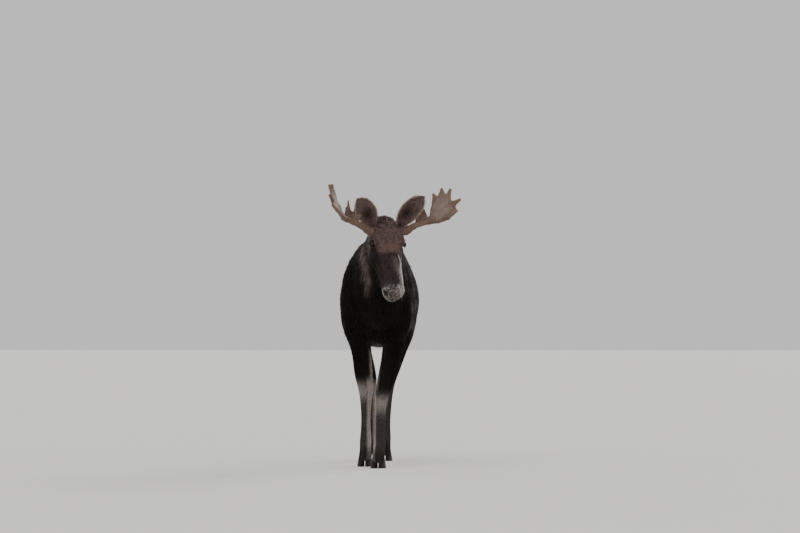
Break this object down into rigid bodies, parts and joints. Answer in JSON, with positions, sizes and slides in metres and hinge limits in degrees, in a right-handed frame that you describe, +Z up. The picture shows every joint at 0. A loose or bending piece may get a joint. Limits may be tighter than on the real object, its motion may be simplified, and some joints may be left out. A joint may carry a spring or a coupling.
{
  "type": "bull moose model",
  "caption": "Life-size still model of a young bull moose in mid stride, head lowered and turned a little, with short palmate antlers, cupped ears and a small bell.",
  "frame": {"origin": "on the floor, under the middle of the model's bounding box", "axes": "+Z up, the moose faces -Y and its left side is +X"},
  "size_m": [0.9918, 2.4502, 2.1599],
  "materials": {
    "dark_coat": "brown-black fur",
    "brown_coat": "short brown fur",
    "grey_coat": "short grey fur",
    "antler": "matt bone",
    "horn": "dull horn",
    "eye": "wet"
  },
  "bodies": {
    "root": {"head": "brown_coat", "lower_jaw": "brown_coat", "neck": "dark_coat", "torso": "dark_coat", "tail": "dark_coat", "bell": "dark_coat", "ear_left": "brown_coat", "ear_right": "brown_coat", "eye_left": "eye", "eye_right": "eye", "antler_left_palm": "antler", "antler_left_brow": "antler", "antler_right_palm": "antler", "antler_right_brow": "antler", "fore_left_upper_leg": "dark_coat", "fore_left_lower_leg": "grey_coat", "fore_left_inner_hoof": "horn", "fore_left_inner_dewclaw": "horn", "fore_left_outer_hoof": "horn", "fore_left_outer_dewclaw": "horn", "fore_right_upper_leg": "dark_coat", "fore_right_lower_leg": "grey_coat", "fore_right_inner_hoof": "horn", "fore_right_inner_dewclaw": "horn", "fore_right_outer_hoof": "horn", "fore_right_outer_dewclaw": "horn", "hind_left_upper_leg": "dark_coat", "hind_left_lower_leg": "grey_coat", "hind_left_inner_hoof": "horn", "hind_left_inner_dewclaw": "horn", "hind_left_outer_hoof": "horn", "hind_left_outer_dewclaw": "horn", "hind_right_upper_leg": "dark_coat", "hind_right_lower_leg": "grey_coat", "hind_right_inner_hoof": "horn", "hind_right_inner_dewclaw": "horn", "hind_right_outer_hoof": "horn", "hind_right_outer_dewclaw": "horn"}
  },
  "joints": []
}
